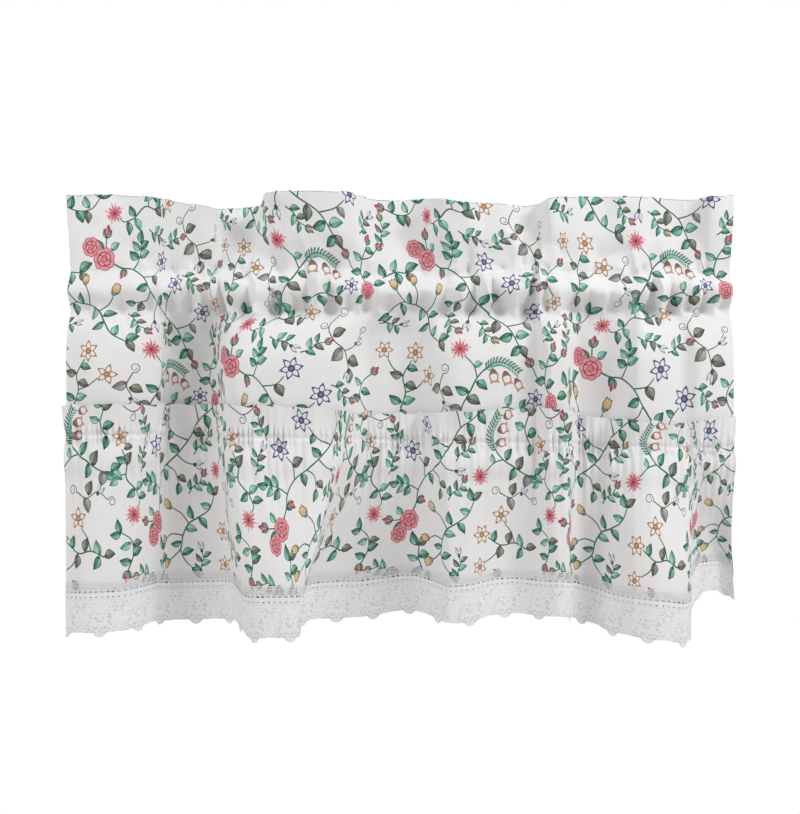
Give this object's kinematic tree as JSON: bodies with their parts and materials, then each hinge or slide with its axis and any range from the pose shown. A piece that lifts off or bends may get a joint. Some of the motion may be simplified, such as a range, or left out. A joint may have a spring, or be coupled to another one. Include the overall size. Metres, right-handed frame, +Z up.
{
  "type": "tier curtain",
  "caption": "Short gathered tier curtain with a standing heading over a rod pocket, a shirred ruffle with a small frill, and a scalloped lace edge",
  "frame": {"origin": "middle of the curtain's top edge, the top of the standing heading", "axes": "+X across the curtain to the right as seen from the front, -Y towards the room (the front of the cloth), +Z up"},
  "size_m": [0.6802, 0.0904, 0.4454],
  "materials": {
    "printed_cotton": "fine plain-weave cotton, off-white, printed with a small trailing floral",
    "printed_cotton_ruffle": "the same printed cotton, cut across the print and gathered",
    "white_lace": "fine white cotton lace with a net ground and small flowers"
  },
  "bodies": {
    "root": {"panel": "printed_cotton", "ruffle": "printed_cotton_ruffle", "lace_edge": "white_lace"}
  },
  "joints": []
}
